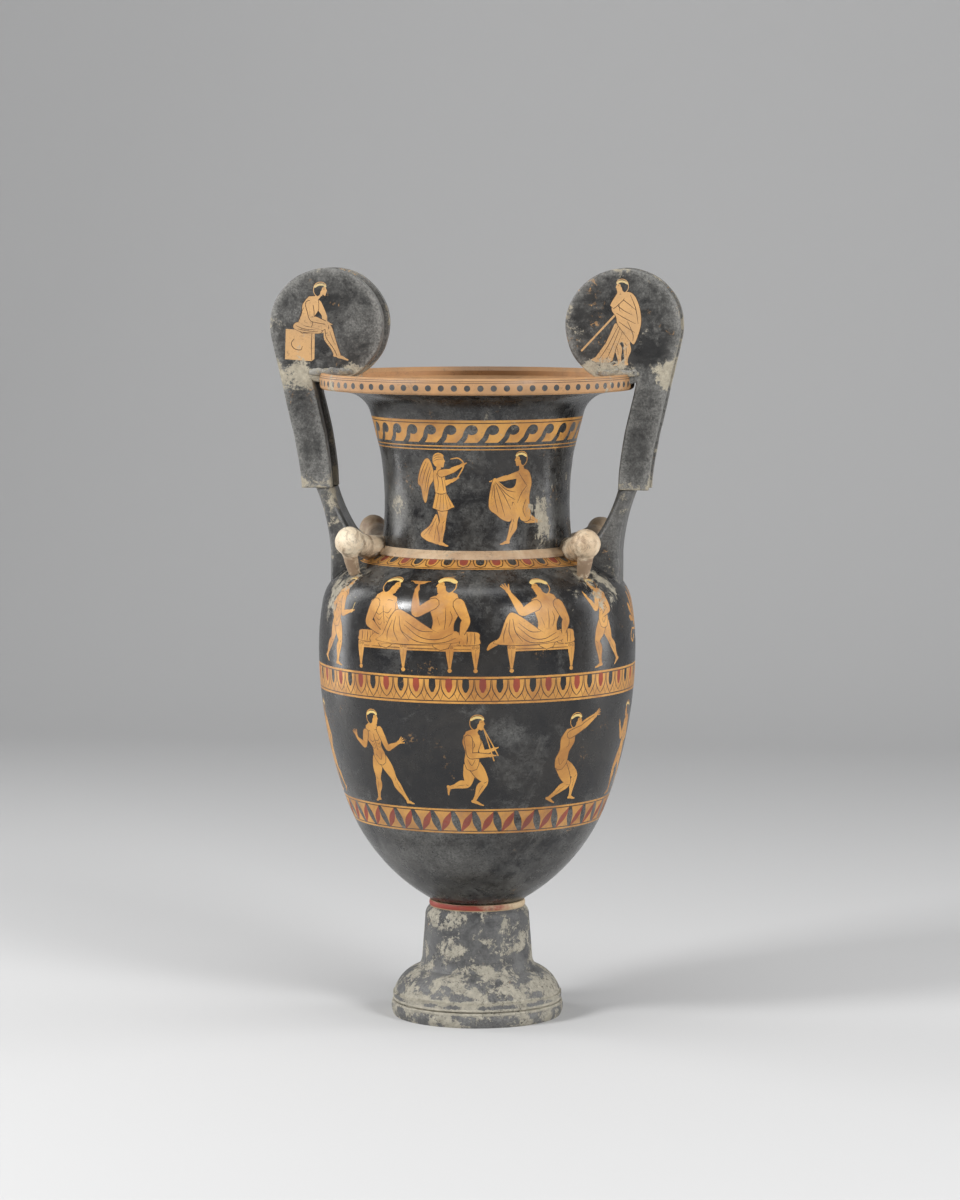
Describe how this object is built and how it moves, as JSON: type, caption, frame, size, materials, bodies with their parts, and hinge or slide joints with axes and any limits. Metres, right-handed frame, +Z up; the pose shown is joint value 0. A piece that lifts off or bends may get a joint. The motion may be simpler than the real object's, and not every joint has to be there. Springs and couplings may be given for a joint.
{
  "type": "volute krater",
  "caption": "Tall wine-mixing vessel with an egg-shaped body, flared neck, stepped foot, scrolled plate handles over the rim and bird heads on the shoulder.",
  "frame": {"origin": "middle of the foot's resting face", "axes": "+Z up the axis of the pot, handles to -X and +X, front face towards -Y"},
  "size_m": [0.3494, 0.2704, 0.6398],
  "materials": {
    "black_slip": "worn black slip with a soft sheen, figures reserved in clay orange, greyish dust and scratches",
    "bare_clay": "smoothed orange clay, matt, with painted dots and lines",
    "pale_clay": "pale buff clay, matt and worn",
    "cream_slip": "cream slip, matt and stained",
    "luting_clay": "rough smeared clay with grey crust"
  },
  "bodies": {
    "root": {"body": "black_slip", "neck": "black_slip", "foot_stem": "black_slip", "foot_base": "black_slip", "foot_plinth": "black_slip", "rim": "bare_clay", "neck_ring": "pale_clay", "foot_joint_ring": "pale_clay", "left_front_volute": "black_slip", "left_back_volute": "black_slip", "left_handle_strap": "black_slip", "left_handle_root": "black_slip", "left_front_bird_head": "cream_slip", "left_front_rim_luting": "luting_clay", "left_back_bird_head": "cream_slip", "left_back_rim_luting": "luting_clay", "right_front_volute": "black_slip", "right_back_volute": "black_slip", "right_handle_strap": "black_slip", "right_handle_root": "black_slip", "right_front_bird_head": "cream_slip", "right_front_rim_luting": "luting_clay", "right_back_bird_head": "cream_slip", "right_back_rim_luting": "luting_clay"}
  },
  "joints": []
}
